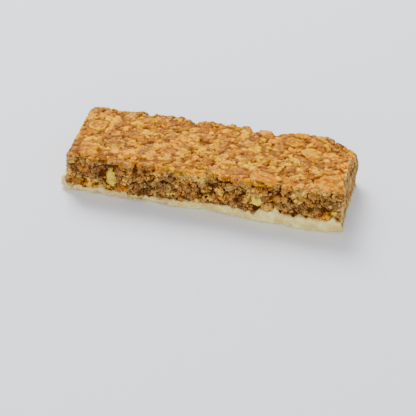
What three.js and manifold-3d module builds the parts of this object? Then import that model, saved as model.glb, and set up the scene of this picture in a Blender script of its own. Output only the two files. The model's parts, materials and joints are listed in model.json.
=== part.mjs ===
// A protein bar: a pressed slab of crisps and oats held in syrup, with nut pieces set in it,
// dipped along its base in a white yoghurt-style coating.
// Millimetres, +Z up. +X runs along the bar to its thicker end, and the origin is under the
// middle of the bar's bounding box, on the surface that it rests on.
import * as THREE from "three";
import { mergeVertices } from "three/addons/utils/BufferGeometryUtils.js";
import Module from "manifold-3d";

const wasm = await Module();
wasm.setup();

// The slab
const LENGTH = 113; // between the two guillotined ends
const WIDTH = 35; // between the two slit sides
const THIN_HEIGHT = 17.4; // top of the slab above the table, at the -X end
const THICK_HEIGHT = 19.9; // and at the +X end
const EDGE_RADIUS = 2.2; // every long and short edge
const CORNER_RADIUS = 3.6; // plan radius of the two back corners
const FRONT_CORNER_RADIUS = 2.2; // and of the squarer front ones
const END_LEAN = { reach: 1.1, from: -12, to: 2 }; // how far the +X end's top leans in, towards +Y
const CRUSHED_CORNER = { length: 14, width: 15, drop: 5 }; // where the top sinks, at +X +Y
const TOP_RELIEF = 1; // height of the pressed grains on the top
const SIDE_RELIEF = 2.2; // and of the torn grains on the sides
const GRAIN_PITCH = 5.2; // spacing of the grains in the relief
const BOW = 0.7; // how far the long sides wander from straight
const FRONT_BOW = 5; // phase of that wander on the -Y side
const BACK_BOW = 3; // and on the +Y side

// The coating
const COAT_FLOOR = 1.7; // thickness under the slab
const COAT_WALL = 1.2; // thickness up the sides
const COAT_EDGE_RADIUS = 1.3; // its bottom edge
const FOOT = { length: 6, reach: 1.2 }; // how far it stands out at the -X end
const PUDDLE = { from: -4, to: -12, reach: 1.8, rise: 2.4 }; // and how much more at the -Y corner
const BELLY = { from: 15, to: 38, reach: 0.7 }; // the bulge of the front side towards +X
const LOW_RIM = 3.3; // height of its rim at the -X end of the long sides
const HIGH_RIM = 6.3; // and near the +X end
const RIM_CLIMB = { from: -20, to: 45 }; // between which it rises from one to the other
const END_RIM = 1.4; // and its height on the +X end face
const END_BLEND = 2.6; // length over which the side's rim falls to that of the end
const RIM_WAVE = 0.9; // how unevenly it climbs
const BARE_SPOT = { x: -27.7, halfLength: 4.2, rim: 1.1 }; // where it missed the front side

const FIT_GAP = 0.3; // clearance between pieces that touch
const SEAT_BLEND = 1; // half the height over which the slab widens above the coating's rim
const FACET = 2.94; // mesh step on the slab and coating

const HALF_LENGTH = LENGTH / 2;
const HALF_WIDTH = WIDTH / 2;

const COLOURS = { slab: 0xc8964f, coating: 0xe9dfc6, roastNut: 0xd9923c, paleNut: 0xdcc77c };

// Nut pieces that lie in the top, by their place in plan, size along, across and deep, and turn.
const TOP_NUTS = [
  { x: -49.7, y: 4.6, size: [7.4, 6.8, 4], turn: 14 },
  { x: 38.8, y: 5.1, size: [8, 5.8, 4], turn: -4 },
  { x: 23.5, y: -13.6, size: [10, 6, 4.4], turn: -10 },
  { x: 49.6, y: -11.2, size: [11, 8.6, 4.6], turn: -16 },
  { x: -48, y: -13, size: [8.4, 6.4, 4.2], turn: 20 },
  { x: 30.8, y: 11.6, size: [8.2, 5.6, 3.8], turn: 8 },
];

// Nut pieces that show in the front side, by their height above the table; size along, deep and tall.
const SIDE_NUTS = [
  { x: -38, z: 8.7, size: [4.6, 4.4, 8.2], turn: -10 },
  { x: 21.7, z: 9.5, size: [7.4, 4.2, 3.8], turn: 35 },
];
const NUT_PROUD = 0.55; // how far a nut piece stands out of the surface round it

const { clamp, lerp, smoothstep, degToRad } = THREE.MathUtils;

// Repeatable pseudo-random number from 0 to 1 for a lattice cell.
function hash(i, j, k, seed) {
  const s = Math.sin(i * 127.1 + j * 311.7 + k * 74.7 + seed * 53.3) * 43758.5453;
  return s - Math.floor(s);
}

// Cellular relief: 1 in the middle of a grain, falling to 0 between grains.
function grainRelief(p, pitch) {
  const cell = [p.x, p.y, p.z].map((v) => Math.floor(v / pitch));
  let nearest = Infinity;
  for (let i = cell[0] - 1; i <= cell[0] + 1; i++)
    for (let j = cell[1] - 1; j <= cell[1] + 1; j++)
      for (let k = cell[2] - 1; k <= cell[2] + 1; k++) {
        const dx = (i + hash(i, j, k, 1)) * pitch - p.x;
        const dy = (j + hash(i, j, k, 2)) * pitch - p.y;
        const dz = (k + hash(i, j, k, 3)) * pitch - p.z;
        nearest = Math.min(nearest, dx * dx + dy * dy + dz * dz);
      }
  return clamp(1 - nearest / (0.64 * pitch * pitch), 0, 1);
}

// Slow wander of an edge along the bar, from -1 to 1.
function wander(t, phase) {
  return 0.6 * Math.sin(t / 11.3 + phase) + 0.4 * Math.sin(t / 4.9 + 2.1 * phase);
}

// How far a long side is shifted along Y from straight; side is -1 in the front one and 1 in the back.
function bow(x, side) {
  return BOW * wander(x, side > 0 ? BACK_BOW : FRONT_BOW) * Math.abs(side);
}

// Height of the slab's pressed top above the table.
function topHeight(x, y) {
  const { length, width, drop } = CRUSHED_CORNER;
  const along = (x + HALF_LENGTH) / LENGTH;
  const crushed =
    smoothstep(x, HALF_LENGTH - length, HALF_LENGTH) * smoothstep(y, HALF_WIDTH - width, HALF_WIDTH);
  return lerp(THIN_HEIGHT, THICK_HEIGHT, along) - drop * crushed;
}

// 1 where the coating's puddle stands out at the -X end, and 0 clear of it.
function puddleShare(y) {
  return smoothstep(-y, -PUDDLE.from, -PUDDLE.to);
}

// Height to which the coating climbs at a point of the outline.
function rimHeight(x, y) {
  const climbed = lerp(LOW_RIM, HIGH_RIM, smoothstep(x, RIM_CLIMB.from, RIM_CLIMB.to));
  const side = climbed + RIM_WAVE * wander(x, y > 0 ? 4 : 1);
  const end = END_RIM + 0.5 * RIM_WAVE * wander(y, 2);
  const puddle = smoothstep(-x, HALF_LENGTH - FOOT.length, HALF_LENGTH) * puddleShare(y);
  const rim =
    lerp(side, end, smoothstep(x, HALF_LENGTH - END_BLEND, HALF_LENGTH)) + PUDDLE.rise * puddle;
  const fromSpot = Math.abs(x - BARE_SPOT.x) / BARE_SPOT.halfLength;
  const bare = y < 0 ? 1 - smoothstep(fromSpot, 0.6, 1) : 0;
  return lerp(rim, BARE_SPOT.rim, bare);
}

// Rounds the square corners of the plan.
function roundPlanCorner(p) {
  const radius = p.y < 0 ? FRONT_CORNER_RADIUS : CORNER_RADIUS;
  const dx = Math.abs(p.x) - (HALF_LENGTH - radius);
  const dy = Math.abs(p.y) - (HALF_WIDTH - radius);
  if (dx <= 0 || dy <= 0) return;
  const pull = 1 - Math.max(dx, dy) / Math.hypot(dx, dy);
  p.x -= Math.sign(p.x) * dx * pull;
  p.y -= Math.sign(p.y) * dy * pull;
}

// A closed box of unit half-size, cut into facets about FACET long on the finished piece.
function facetedBox(length, width, height) {
  const steps = [length, width, height].map((d) => Math.round(d / FACET));
  const box = new THREE.BoxGeometry(2, 2, 2, ...steps);
  box.deleteAttribute("normal");
  box.deleteAttribute("uv");
  return mergeVertices(box);
}

// Moves a unit box's points onto a box with rounded edges; also gives each point's outward normal.
function roundedBoxPoint(unit, half, radius) {
  const square = unit.clone().multiply(half);
  const reach = half.clone().subScalar(radius);
  const core = square.clone().clamp(reach.clone().negate(), reach);
  const normal = square.sub(core).normalize();
  return { point: core.addScaledVector(normal, radius), normal };
}

function mapPoints(geometry, place) {
  const position = geometry.getAttribute("position");
  const p = new THREE.Vector3();
  for (let i = 0; i < position.count; i++) {
    const moved = place(p.fromBufferAttribute(position, i).clone());
    position.setXYZ(i, moved.x, moved.y, moved.z);
  }
  return geometry;
}

// The pressed slab. With grow it comes out that much larger all round, to cut its own seat.
function slabGeometry(grow = 0) {
  const floor = COAT_FLOOR + FIT_GAP - grow;
  const half = new THREE.Vector3(HALF_LENGTH + grow, HALF_WIDTH + grow, THICK_HEIGHT / 2);
  return mapPoints(facetedBox(LENGTH, WIDTH, THIN_HEIGHT), (unit) => {
    const { point, normal } = roundedBoxPoint(unit, half, EDGE_RADIUS);
    point.y += bow(point.x, unit.y);
    const share = (point.z / half.z + 1) / 2;
    point.z = lerp(floor, topHeight(point.x, point.y) + grow, share);
    const lean = END_LEAN.reach * share * smoothstep(point.y, END_LEAN.from, END_LEAN.to);
    point.x -= lean * smoothstep(unit.x, 0.8, 1);

    // Below the coating's rim the slab is narrower, so that the coating lies flush with it.
    const rim = rimHeight(point.x, point.y);
    const seated = 1 - smoothstep(point.z, rim, rim + 2 * SEAT_BLEND);
    const out = new THREE.Vector3(normal.x, normal.y, 0);
    point.addScaledVector(out, -(COAT_WALL + FIT_GAP) * seated);

    const relief = lerp(SIDE_RELIEF, TOP_RELIEF, smoothstep(normal.z, 0.4, 0.9));
    const torn = relief * (grainRelief(point, GRAIN_PITCH) - 0.6) * (1 - seated);
    point.addScaledVector(normal, normal.z < -0.3 ? 0 : torn);
    roundPlanCorner(point);
    return point;
  });
}

// The coating before the slab's seat is cut out of it.
function coatingBlank() {
  const half = new THREE.Vector3(HALF_LENGTH, HALF_WIDTH, HIGH_RIM / 2);
  return mapPoints(facetedBox(LENGTH, WIDTH, 1.5 * HIGH_RIM), (unit) => {
    const { point } = roundedBoxPoint(unit, half, COAT_EDGE_RADIUS);
    point.y += bow(point.x, unit.y);
    const share = (point.z / half.z + 1) / 2;
    const foot = 1 - smoothstep(point.x, -HALF_LENGTH, -HALF_LENGTH + FOOT.length);
    const belly = point.y < 0 ? smoothstep(point.x, BELLY.from, BELLY.to) : 0;
    const reach = FOOT.reach + PUDDLE.reach * puddleShare(point.y);
    point.x -= reach * foot * (1 - 0.4 * share) * Math.abs(unit.x);
    point.y -= BELLY.reach * belly * (1 - 0.5 * share) * Math.abs(unit.y);
    point.z = rimHeight(point.x, point.y) * share;
    roundPlanCorner(point);
    return point;
  });
}

// One nut piece: an uneven half kernel, flatter on the face that shows.
function nutGeometry(size, seed, grow = 0) {
  const ball = new THREE.SphereGeometry(1, 13, 8);
  ball.deleteAttribute("normal");
  ball.deleteAttribute("uv");
  const half = new THREE.Vector3(...size).divideScalar(2).addScalar(grow);
  return mapPoints(mergeVertices(ball, 1e-4), (unit) => {
    const uneven = 1 + 0.07 * Math.sin(3 * unit.x + seed) + 0.06 * Math.cos(4 * unit.y + 2 * seed);
    return unit.multiplyScalar(uneven).multiply(half);
  });
}

function solidOf(geometry) {
  const mesh = new wasm.Mesh({
    numProp: 3,
    vertProperties: new Float32Array(geometry.getAttribute("position").array),
    triVerts: new Uint32Array(geometry.index.array),
  });
  return new wasm.Manifold(mesh);
}

function geometryOf(solid) {
  const mesh = solid.getMesh();
  const geometry = new THREE.BufferGeometry();
  geometry.setAttribute("position", new THREE.BufferAttribute(mesh.vertProperties, 3));
  geometry.setIndex(new THREE.BufferAttribute(mesh.triVerts, 1));
  return geometry.toNonIndexed();
}

function piece(name, geometry, material) {
  geometry.computeVertexNormals();
  const mesh = new THREE.Mesh(geometry, material);
  mesh.name = name;
  return mesh;
}

function foodMaterial(color, roughness) {
  return new THREE.MeshStandardMaterial({ color, roughness, metalness: 0, flatShading: true });
}

// Every nut piece, with the matrix that places it in the slab's top or front side.
function nutPlaces() {
  const top = TOP_NUTS.map(({ x, y, size, turn }) => ({
    size,
    pale: false,
    at: new THREE.Vector3(x, y, topHeight(x, y) + NUT_PROUD - size[2] / 2),
    spin: new THREE.Euler(0, 0, degToRad(turn)),
  }));
  const side = SIDE_NUTS.map(({ x, z, size, turn }) => ({
    size,
    pale: true,
    at: new THREE.Vector3(x, -HALF_WIDTH - NUT_PROUD + size[1] / 2, z),
    spin: new THREE.Euler(0, degToRad(turn), 0),
  }));
  return [...top, ...side].map((nut, i) => ({
    ...nut,
    name: `nut_piece_${i + 1}`,
    matrix: new THREE.Matrix4().compose(
      nut.at,
      new THREE.Quaternion().setFromEuler(nut.spin),
      new THREE.Vector3(1, 1, 1),
    ),
  }));
}

function buildBar() {
  const nuts = nutPlaces();
  const pocketOf = (nut, i) => solidOf(nutGeometry(nut.size, i, FIT_GAP).applyMatrix4(nut.matrix));

  const wholeSlab = solidOf(slabGeometry());
  const slab = nuts.reduce((solid, nut, i) => solid.subtract(pocketOf(nut, i)), wholeSlab);
  const seat = solidOf(slabGeometry(FIT_GAP));
  const coating = nuts.reduce(
    (solid, nut, i) => solid.subtract(pocketOf(nut, i)),
    solidOf(coatingBlank()).subtract(seat),
  );

  const bar = new THREE.Group();
  bar.add(piece("crisp_slab", geometryOf(slab), foodMaterial(COLOURS.slab, 0.75)));
  bar.add(piece("white_coating", geometryOf(coating), foodMaterial(COLOURS.coating, 0.5)));
  const roast = foodMaterial(COLOURS.roastNut, 0.45);
  const pale = foodMaterial(COLOURS.paleNut, 0.6);
  nuts.forEach((nut, i) => {
    const mesh = piece(nut.name, nutGeometry(nut.size, i), nut.pale ? pale : roast);
    mesh.applyMatrix4(nut.matrix);
    bar.add(mesh);
  });

  // The origin goes under the middle of the bar.
  bar.updateMatrixWorld(true);
  const box = new THREE.Box3().setFromObject(bar, true);
  const middle = box.getCenter(new THREE.Vector3());
  bar.position.set(-middle.x, -middle.y, -box.min.z);
  return bar;
}

export default buildBar();
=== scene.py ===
"""Protein bar: pressed crisps, rolled oats and nut pieces set in syrup, on a white coating.

A Blender add-on that builds the bar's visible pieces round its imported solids, and the stage it
is looked at on. Lengths are in metres. +X runs along the bar to its thicker end, -Y is the front.
"""

import json
import math

import bmesh
import bpy
import numpy as np
from bpy.props import FloatProperty, FloatVectorProperty, PointerProperty
from bpy.types import Operator, Panel, PropertyGroup
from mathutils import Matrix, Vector


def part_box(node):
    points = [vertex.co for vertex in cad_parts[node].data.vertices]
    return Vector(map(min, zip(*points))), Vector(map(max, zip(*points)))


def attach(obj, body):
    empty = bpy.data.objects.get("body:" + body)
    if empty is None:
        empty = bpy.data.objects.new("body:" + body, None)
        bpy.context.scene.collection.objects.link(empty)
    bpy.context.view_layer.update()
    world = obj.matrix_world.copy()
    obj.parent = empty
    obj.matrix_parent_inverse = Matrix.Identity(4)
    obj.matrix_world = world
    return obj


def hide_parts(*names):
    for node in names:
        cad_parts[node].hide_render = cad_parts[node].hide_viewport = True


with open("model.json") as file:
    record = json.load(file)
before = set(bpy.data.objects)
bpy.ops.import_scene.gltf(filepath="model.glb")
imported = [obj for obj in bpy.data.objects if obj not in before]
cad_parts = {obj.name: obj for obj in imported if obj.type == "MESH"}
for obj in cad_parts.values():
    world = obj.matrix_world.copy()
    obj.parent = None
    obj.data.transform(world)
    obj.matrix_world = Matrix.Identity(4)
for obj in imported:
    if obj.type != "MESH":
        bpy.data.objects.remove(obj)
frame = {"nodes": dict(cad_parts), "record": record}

bl_info = {
    "name": "Protein bar",
    "version": (1, 0, 0),
    "blender": (4, 5, 0),
    "location": "3D View > Sidebar > Protein bar",
    "description": "Builds a bar of pressed crisps, oats and nut pieces on a white coating",
    "category": "Add Mesh",
}

mm = 0.001
TINY = 1e-9  # keeps a division clear of zero


# ---- the bar's outer form

SLAB_LOW, SLAB_HIGH = (np.array(corner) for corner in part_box("crisp_slab"))
MIDDLE = (SLAB_LOW + SLAB_HIGH) / 2 * [1, 1, 0]  # shapes are worked out round this place
END_RELIEF = 0.85 * mm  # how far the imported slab's lumps stand out of each end
SIDE_RELIEF = 1.2 * mm  # and out of each long side, with its bow
TOP_RELIEF = 0.2 * mm  # and out of the top
HALF_LENGTH = (SLAB_HIGH[0] - SLAB_LOW[0]) / 2 - END_RELIEF
HALF_WIDTH = (SLAB_HIGH[1] - SLAB_LOW[1]) / 2 - SIDE_RELIEF
SLAB_FLOOR = SLAB_LOW[2]  # the slab's underside, inside the coating
THICK_TOP = SLAB_HIGH[2] - TOP_RELIEF  # top of the bar at its +X end
THIN_TOP = THICK_TOP - 2.5 * mm  # and at its -X end
TOP_WAVES = 0.12 * mm  # height of the slow waves in the top
EDGE_RADIUS = 1.2 * mm
CORNER_RADIUS = 3.4 * mm  # plan radius of the back corners
FRONT_CORNER_RADIUS = 1.2 * mm  # and of the front ones, which are squarer
BOW = 0.7 * mm  # how far the long sides wander from straight
CHIP_DEPTH = 0.8 * mm  # how deep a usual chip in the top's front edge goes
END_SETBACK = 0.6 * mm  # how far the middle of the +X end stands back
END_DROP = 1.5 * mm  # how much lower the grains hang at the +X end, where the coating is thin
CRUSHED_LENGTH, CRUSHED_WIDTH, CRUSHED_DROP = 14 * mm, 15 * mm, 5 * mm  # the +X +Y corner
FRONT_ZONE = -HALF_WIDTH + 4 * mm  # points with a smaller y belong to the front side
FULL_DEPTH = 2 * mm  # depth below the outer form that the finishes read as 1

# Places and sizes in the lists below are in millimetres, measured from under the bar's middle.

# Bites out of the top's back edge where grains broke away: place along the bar, half length, depth.
BACK_NOTCHES = (
    (-30.5, 1.2, 2.2), (-11.5, 2.8, 2.2), (6.5, 1.2, 1.6), (13.4, 1.5, 2.4), (22.5, 1.6, 2.4),
    (49, 3, 0.6),
)

# Small dark holes in the pressed top: place, half length and half width.
TOP_HOLES = (
    (-36.1, -7.7, 0.4, 1.0), (-11.5, 9.9, 0.7, 0.5), (-6.3, 4.8, 0.5, 1.3),
    (-7.5, -4.4, 0.5, 1.1), (14.7, -9.9, 0.8, 0.7), (23.8, -5.8, 0.5, 0.6),
    (-27.4, 11.4, 0.5, 0.5), (37.6, 2.4, 0.9, 0.3), (-16.4, -15.2, 1.5, 0.4),
)

# Dark gaps between the grains of the front side: place along, height, half length and half height.
FRONT_HOLES = (
    (-48.8, 4.9, 0.7, 1.3), (-44, 5.3, 0.7, 0.6), (-41.5, 10.6, 0.8, 1.2),
    (-37.4, 13.6, 1.8, 0.7), (-28.1, 15.7, 0.9, 0.4), (-23.4, 15.1, 0.8, 0.4),
    (-15, 11.5, 1.8, 0.8), (-0.7, 7.6, 0.8, 0.6), (3.3, 13.4, 1.0, 0.7), (3.9, 10, 0.8, 1.0),
    (8.2, 10.7, 0.7, 1.2), (10.2, 16, 1.6, 0.8), (14.3, 8.4, 1.1, 1.0), (16.6, 12.4, 1.2, 0.6),
    (20.9, 17, 0.9, 0.7), (21.5, 6, 1.2, 1.0), (25.2, 9.5, 0.7, 0.8), (30.9, 13.7, 1.1, 0.5),
    (35.9, 13.2, 0.9, 0.6), (37.7, 6.7, 1.4, 0.7), (43.1, 10.1, 1.8, 0.7),
    (48.9, 10.6, 0.9, 1.2), (51.8, 18, 0.4, 1.2),
)

# Where pinkish syrup lies thick over the top: place and half size.
SYRUP_POOLS = (
    (10.6, -14.2, 3.2), (-25.6, -9.4, 2.8), (37, -3.3, 3.0), (26.8, -11.6, 2.4),
    (-49.9, -8.5, 2.2), (-35.1, -9.5, 2.0), (2, 1, 2.2),
)

# Where syrup glazes the front side: place along, height, half length and half height.
GLAZED_PATCHES = ((-50, 5, 6, 2), (-33, 5, 2.5, 1.5), (29, 12, 2.5, 2), (51, 8, 3, 4))

# Where the front side is browner or paler: place along, height, half length, half height, change of tone.
FRONT_SHADES = (
    (-52, 15.5, 5, 3, 0.17), (-38, 14.5, 8.5, 3.5, 0.36), (-52, 8.5, 3.5, 2.5, -0.15),
    (-42.5, 4.8, 6, 2, -0.45), (-25, 12, 4.5, 3.5, -0.2), (-16, 11.5, 4, 3.2, 0.15),
    (-9.9, 16.6, 1.3, 0.9, -0.6), (-7, 10, 6, 4.5, 0.08), (2, 16.5, 5, 1.6, -0.15),
    (20, 13.5, 4, 2.4, -0.3), (20, 7, 4, 2, -0.25), (28, 10.5, 4.5, 3, 0.2),
    (38, 10.8, 4, 1.8, 0.2), (38, 16.5, 5, 1.6, -0.2), (38, 7, 4, 1.3, -0.2),
)

# Larger flakes pressed into the top: place, length, width, turn in degrees and tone.
PRESSED_FLAKES = (
    (-44.4, 5.5, 10, 3.3, 82, 0.05), (-7.1, 12.4, 8, 3.3, 75, 0.8),
    (-34.6, 9.5, 6.5, 2.6, 8, 0.1), (-28.3, 3.9, 7, 2.8, 15, 0.05),
    (-16.9, -10.7, 7.5, 3, 5, 0.12), (9.4, 14.4, 3.4, 3, 0, 0.0), (16.8, 15.2, 4, 3, 0, 0.02),
    (-27.4, 12.6, 5, 4, 20, 0.45),
)


def smooth_step(x, low, high):
    """0 below low, 1 above high, and a smooth rise between them."""
    share = np.clip((x - low) / (high - low), 0, 1)
    return share * share * (3 - 2 * share)


def ripple(points, wavelength, seed, waves=10):
    """Smooth noise of about -1 to 1 at points: the sum of waves that run in random directions."""
    draw = np.random.default_rng(seed)
    heading = draw.normal(size=(waves, 3))
    heading /= np.linalg.norm(heading, axis=1, keepdims=True)
    heading *= 2 * math.pi / wavelength * draw.uniform(0.7, 1.5, (waves, 1))
    phase = draw.uniform(0, 2 * math.pi, waves)
    return np.sin(points @ heading.T + phase).sum(-1) / math.sqrt(waves)


def wander(x, phase):
    """Slow wander of a long side along the bar, from -1 to 1."""
    return 0.6 * np.sin(x / (11.3 * mm) + phase) + 0.4 * np.sin(x / (4.9 * mm) + 2.1 * phase)


def bell(x, middle, half_length):
    """A bump of height 1 at middle, about twice half_length long."""
    return np.exp(-(((x - middle) / half_length) ** 2))


def bells(x, bumps):
    """Sum of bumps along the bar, from rows of place, half length and height in millimetres."""
    return sum(height * mm * bell(x, at * mm, half * mm) for at, half, height in bumps)


def away(u, v, spot):
    """How many half sizes each place (u, v) lies from a spot's middle.

    A spot is its middle's u and v and its half sizes along them, in millimetres.
    """
    middle_u, middle_v, half_u, half_v = spot
    return np.hypot((u / mm - middle_u) / half_u, (v / mm - middle_v) / half_v)


def top_height(x, y):
    """Height of the bar's pressed top above the table."""
    along = (x + HALF_LENGTH) / (2 * HALF_LENGTH)
    crushed = smooth_step(x, HALF_LENGTH - CRUSHED_LENGTH, HALF_LENGTH)
    crushed = crushed * smooth_step(y, HALF_WIDTH - CRUSHED_WIDTH, HALF_WIDTH)
    uneven = np.sin(x / (2.9 * mm) + np.sin(y / (3.1 * mm))) + np.sin(y / (2.3 * mm) + x / (6 * mm))
    return THIN_TOP + (THICK_TOP - THIN_TOP) * along - CRUSHED_DROP * crushed + TOP_WAVES * uneven


def side_bow(x, y):
    """How far a long side stands out from straight, on the side that y is on."""
    return BOW * np.where(y > 0, wander(x, 3), wander(x, 5))


def side_width(x, y, z):
    """Distance from the bar's middle line to its long side, on the side that y is on."""
    near_top = smooth_step(z, THIN_TOP - 6 * mm, THIN_TOP)
    line = np.stack([x, 0 * x, 0 * x], -1)
    chips = ripple(line, 5 * mm, seed=31) + 0.6 * ripple(line, 1.9 * mm, seed=32)
    chips = CHIP_DEPTH * np.clip(chips - 0.1, 0, 1.6)
    return HALF_WIDTH + side_bow(x, y) - near_top * np.where(y > 0, bells(x, BACK_NOTCHES), chips)


def end_reach(x, y, z):
    """Distance from the bar's middle to its cut end, on the end that x is on.

    The +X end runs out to its front corner, bulges at mid height near its back corner and leans in
    towards the top behind the front corner. The foot of the -X end splays out at its front corner.
    """
    corner = 1.0 * mm * smooth_step(-y, 8 * mm, HALF_WIDTH)
    bulge = 0.9 * mm * smooth_step(y, 2 * mm, 12 * mm) * bell(z, 10 * mm, 4 * mm)
    lean = 0.7 * mm * smooth_step(y, -13 * mm, 2 * mm) * smooth_step(z, 7 * mm, 19 * mm)
    splay = 1.5 * mm * smooth_step(-y, 4 * mm, 12 * mm) * (1 - smooth_step(z, 4 * mm, 8 * mm))
    return HALF_LENGTH + np.where(x > 0, corner - END_SETBACK + bulge - lean, splay)


def distance(points):
    """Signed distance from the bar's outer form, negative inside, in the slab's own place."""
    x, y, z = np.moveaxis(points, -1, 0)
    radius = np.where(y < 0, FRONT_CORNER_RADIUS, CORNER_RADIUS)
    along = np.abs(x) - end_reach(x, y, z) + radius
    across = np.abs(y) - side_width(x, y, z) + radius
    plan = np.hypot(np.maximum(along, 0), np.maximum(across, 0))
    plan = plan + np.minimum(np.maximum(along, across), 0) - radius
    top = top_height(x, y)
    floor = SLAB_FLOOR - END_DROP * smooth_step(x, HALF_LENGTH - 3 * mm, HALF_LENGTH - 1 * mm)
    out = plan + EDGE_RADIUS
    up = np.abs(z - (top + floor) / 2) - (top - floor) / 2 + EDGE_RADIUS
    round_off = np.hypot(np.maximum(out, 0), np.maximum(up, 0))
    return round_off + np.minimum(np.maximum(out, up), 0) - EDGE_RADIUS


def outward(points):
    """Unit vector pointing straight out of the bar at each point."""
    step = 0.05 * mm
    slopes = [distance(points + step * axis) - distance(points - step * axis) for axis in np.eye(3)]
    slopes = np.stack(slopes, -1)
    return slopes / np.maximum(np.linalg.norm(slopes, axis=-1, keepdims=True), TINY)


def by_face(normal, top, side, end):
    """A value that is top on the pressed top, side on the long sides and end on the cut ends."""
    x, y, z = np.moveaxis(normal, -1, 0)
    weights = np.stack([np.clip(z, 0, 1), np.abs(y), np.abs(x)], -1) ** 3
    return (weights @ np.array([top, side, end])) / np.maximum(weights.sum(-1), TINY)


def settle(points, depth, rounds=3):
    """Moves points to the given depth below the bar's outer form."""
    for _ in range(rounds):
        points = points - (distance(points) + depth)[..., None] * outward(points)
    return points


def press(points, top=0.22 * mm, side=1.3 * mm, end=0.12 * mm):
    """Flattens what stands out of the bar to no more than top, side or end on each face.

    Points that the first push moved past another face are pushed back from that one too.
    """
    normal = outward(points)
    out = distance(points)
    proud = np.maximum(by_face(normal, top, side, end), TINY)
    kept = np.where(out > 0, proud * (1 - np.exp(-np.maximum(out, 0) / proud)), out)
    points = points - (out - kept)[..., None] * normal
    normal = outward(points)
    past = np.maximum(distance(points) - by_face(normal, top, side, end), 0)
    return points - past[..., None] * normal


# ---- meshes and materials


def linear(hex_colour):
    """Linear RGB of an sRGB hex colour."""
    channels = [int(hex_colour[i : i + 2], 16) / 255 for i in (0, 2, 4)]
    return tuple(c / 12.92 if c <= 0.04045 else ((c + 0.055) / 1.055) ** 2.4 for c in channels)


def add_node(tree, kind, settings=None, inputs=None, label=""):
    """Adds a shader node, sets its own settings, and gives each input a value or a link.

    A link comes from a socket, or from the first output in use of a node.
    """
    node = tree.nodes.new("ShaderNode" + kind)
    node.label = label
    for key, value in (settings or {}).items():
        setattr(node, key, value)
    for key, value in (inputs or {}).items():
        if isinstance(value, bpy.types.Node):
            value = next(socket for socket in value.outputs if socket.enabled)
        if isinstance(value, bpy.types.NodeSocket):
            tree.links.new(value, node.inputs[key])
        else:
            node.inputs[key].default_value = value
    return node


def new_material(name):
    """An empty node material and its tree."""
    material = bpy.data.materials.new(name)
    material.use_nodes = True
    material.node_tree.nodes.clear()
    return material, material.node_tree


def set_ramp(node, colours):
    """Sets a colour ramp's stops from (place, hex colour) pairs."""
    elements = node.color_ramp.elements
    while len(elements) < len(colours):
        elements.new(0.5)
    for element, (place, colour) in zip(elements, colours):
        element.position = place
        element.color = (*linear(colour), 1)


def new_piece(name, points, faces, material, nodes, attributes):
    """Makes a smooth mesh object, hides the imported parts it stands for, and lets it ride on the bar."""
    mesh = bpy.data.meshes.new(name)
    mesh.from_pydata((points + MIDDLE).tolist(), [], faces)
    for key, values in attributes.items():
        layer = mesh.attributes.new(key, "FLOAT", "POINT")
        layer.data.foreach_set("value", np.ascontiguousarray(values, np.float32))
    mesh.shade_smooth()
    mesh.materials.append(material)
    piece = bpy.data.objects.new(name, mesh)
    bpy.context.scene.collection.objects.link(piece)
    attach(piece, "root")
    if nodes:
        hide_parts(*nodes)


def lattice_box(counts):
    """Points (0 to 1 along each edge) and outward faces of a box cut into counts steps.

    The bottom is one fan of triangles to its middle, because the coating hides it.
    """
    grid = np.stack(np.meshgrid(*[np.arange(n + 1) for n in counts], indexing="ij"), -1)
    shell = (grid == 0) | (grid == np.array(counts))
    outer = shell[..., 0] | shell[..., 1] | (grid[..., 2] == counts[2])
    number = np.full(outer.shape, -1)
    number[outer] = np.arange(outer.sum())
    faces = []
    for axis, end in ((0, 0), (0, counts[0]), (1, 0), (1, counts[1]), (2, counts[2])):
        sheet = np.take(number, end, axis)
        ring = np.stack([sheet[:-1, :-1], sheet[1:, :-1], sheet[1:, 1:], sheet[:-1, 1:]], -1)
        ring = ring.reshape(-1, 4)
        faces += (ring if (end > 0) == (axis != 1) else ring[:, ::-1]).tolist()
    floor = number[:, :, 0]
    rim = np.concatenate([floor[:-1, 0], floor[-1, :-1], floor[:0:-1, -1], floor[0, :0:-1]])
    middle = int(outer.sum())
    faces += [(int(b), int(a), middle) for a, b in zip(rim, np.roll(rim, -1))]
    points = np.concatenate([grid[outer] / np.array(counts), [[0.5, 0.5, 0]]])
    return points, faces


# ---- grains


def ball(levels):
    """Points and triangles of a ball of radius 1."""
    made = bmesh.new()
    bmesh.ops.create_icosphere(made, subdivisions=levels, radius=1)
    points = np.array([v.co[:] for v in made.verts])
    faces = np.array([[v.index for v in f.verts] for f in made.faces])
    made.free()
    return points, faces


def flake(segments=12):
    """Points and triangles of a thin disc of radius 1 with a rounded rim, like a rolled oat."""
    profile = [(0.5, 0.97), (0.86, 0.72), (1, 0), (0.86, -0.72), (0.5, -0.97)]
    turn = np.arange(segments) * 2 * math.pi / segments
    rings = [np.stack([r * np.cos(turn), r * np.sin(turn), np.full(segments, h)], 1) for r, h in profile]
    points = np.concatenate([*rings, [[0, 0, 0.85], [0, 0, -0.85]]])
    faces = []
    for i in range(segments):
        j = (i + 1) % segments
        for row in range(len(profile) - 1):
            a, b = row * segments, (row + 1) * segments
            faces += [(a + i, b + i, b + j), (a + i, b + j, a + j)]
        last = (len(profile) - 1) * segments
        faces += [(i, j, len(points) - 2), (last + j, last + i, len(points) - 1)]
    return points, np.array(faces)


def spread(draw, length, width, pitch, jitter=0.36):
    """Places on a triangular grid over a rectangle centred on zero, each moved by part of the pitch."""
    row_share = 0.87  # of the pitch, from row to row
    row = np.arange(-width / 2, width / 2 + pitch / 2, pitch * row_share)
    column = np.arange(-length / 2, length / 2 + pitch / 2, pitch)
    grid = np.stack(np.meshgrid(column, row, indexing="ij"), -1)
    grid[:, 1::2, 0] += pitch / 2
    return (grid + draw.uniform(-jitter, jitter, grid.shape) * pitch).reshape(-1, 2)


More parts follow.
